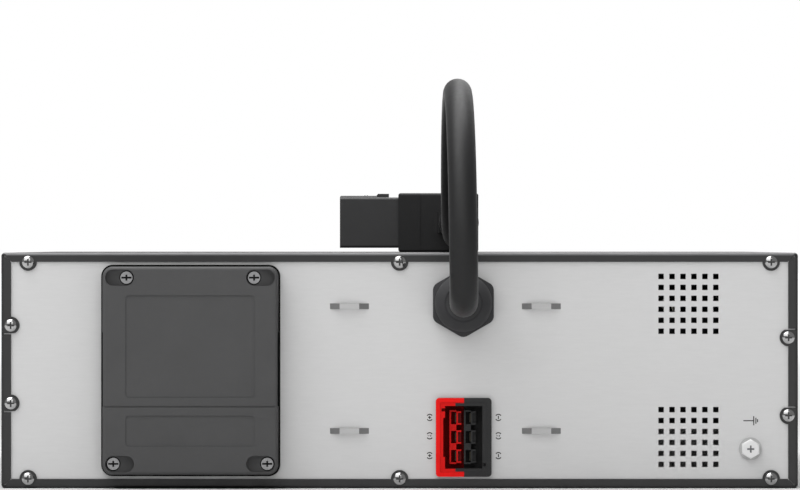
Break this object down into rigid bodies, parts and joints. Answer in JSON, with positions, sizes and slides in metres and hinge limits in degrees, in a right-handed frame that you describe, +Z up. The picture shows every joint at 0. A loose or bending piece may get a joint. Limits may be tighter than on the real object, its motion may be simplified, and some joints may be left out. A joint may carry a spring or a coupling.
{
  "type": "ups battery pack",
  "caption": "Low rack-height steel battery case with bare metal rear panel, moulded fuse cover, red and black DC socket, gland and captive DC lead with latched plug.",
  "frame": {"origin": "centre of the underside of the chassis floor, where the case rests", "axes": "+Z up; -Y out of the rear panel that carries the socket and gland; +X to the right of somebody who looks at the rear panel"},
  "size_m": [0.438, 0.6608, 0.2261],
  "materials": {
    "black_paint": "fine textured powder coat, satin",
    "zinc_sheet": "bright zinc sheet with a fine level grain",
    "bright_screw": "bright nickel",
    "black_screw": "black oxide, satin",
    "black_moulding": "fine spark texture",
    "gland_moulding": "smooth satin nylon",
    "red_moulding": "smooth satin",
    "dark_moulding": "smooth satin",
    "plug_moulding": "smooth satin",
    "lead_jacket": "smooth satin",
    "contact_metal": "tinned",
    "ceramic": "glazed",
    "block_case": "moulded",
    "foam": "closed-cell foam",
    "red_lead": "smooth",
    "black_lead": "smooth"
  },
  "bodies": {
    "root": {"base_chassis": "black_paint", "top_cover": "black_paint", "front_panel": "black_paint", "hold_down_straps_left": "black_paint", "hold_down_straps_right": "black_paint", "rear_panel": "zinc_sheet", "battery_tray_left": "zinc_sheet", "battery_tray_right": "zinc_sheet", "frame_screws": "bright_screw", "fuse_cover_screws": "bright_screw", "ground_screw": "bright_screw", "ground_washer": "bright_screw", "lid_screws": "black_screw", "fuse_cover": "black_moulding", "front_bezel": "black_moulding", "gland_body": "gland_moulding", "gland_nut": "gland_moulding", "gland_locknut": "gland_moulding", "socket_red_half": "red_moulding", "plug_red_block": "red_moulding", "socket_black_half": "dark_moulding", "plug_black_block": "dark_moulding", "tray_connector_left": "dark_moulding", "tray_connector_right": "dark_moulding", "fuse_holder": "dark_moulding", "plug_housing": "plug_moulding", "power_lead": "lead_jacket", "lead_entry": "lead_jacket", "plug_elbow": "lead_jacket", "gland_seal": "lead_jacket", "socket_contacts": "contact_metal", "plug_contacts": "contact_metal", "fuse_clips": "contact_metal", "terminal_blades_left": "contact_metal", "terminal_blades_right": "contact_metal", "fuses": "ceramic", "battery_blocks_left": "block_case", "battery_blocks_right": "block_case", "foam_pads_left": "foam", "foam_pads_right": "foam", "positive_leads": "red_lead", "negative_leads": "black_lead", "tray_link": "black_lead", "block_links_left": "black_lead", "block_links_right": "black_lead"}
  },
  "joints": []
}
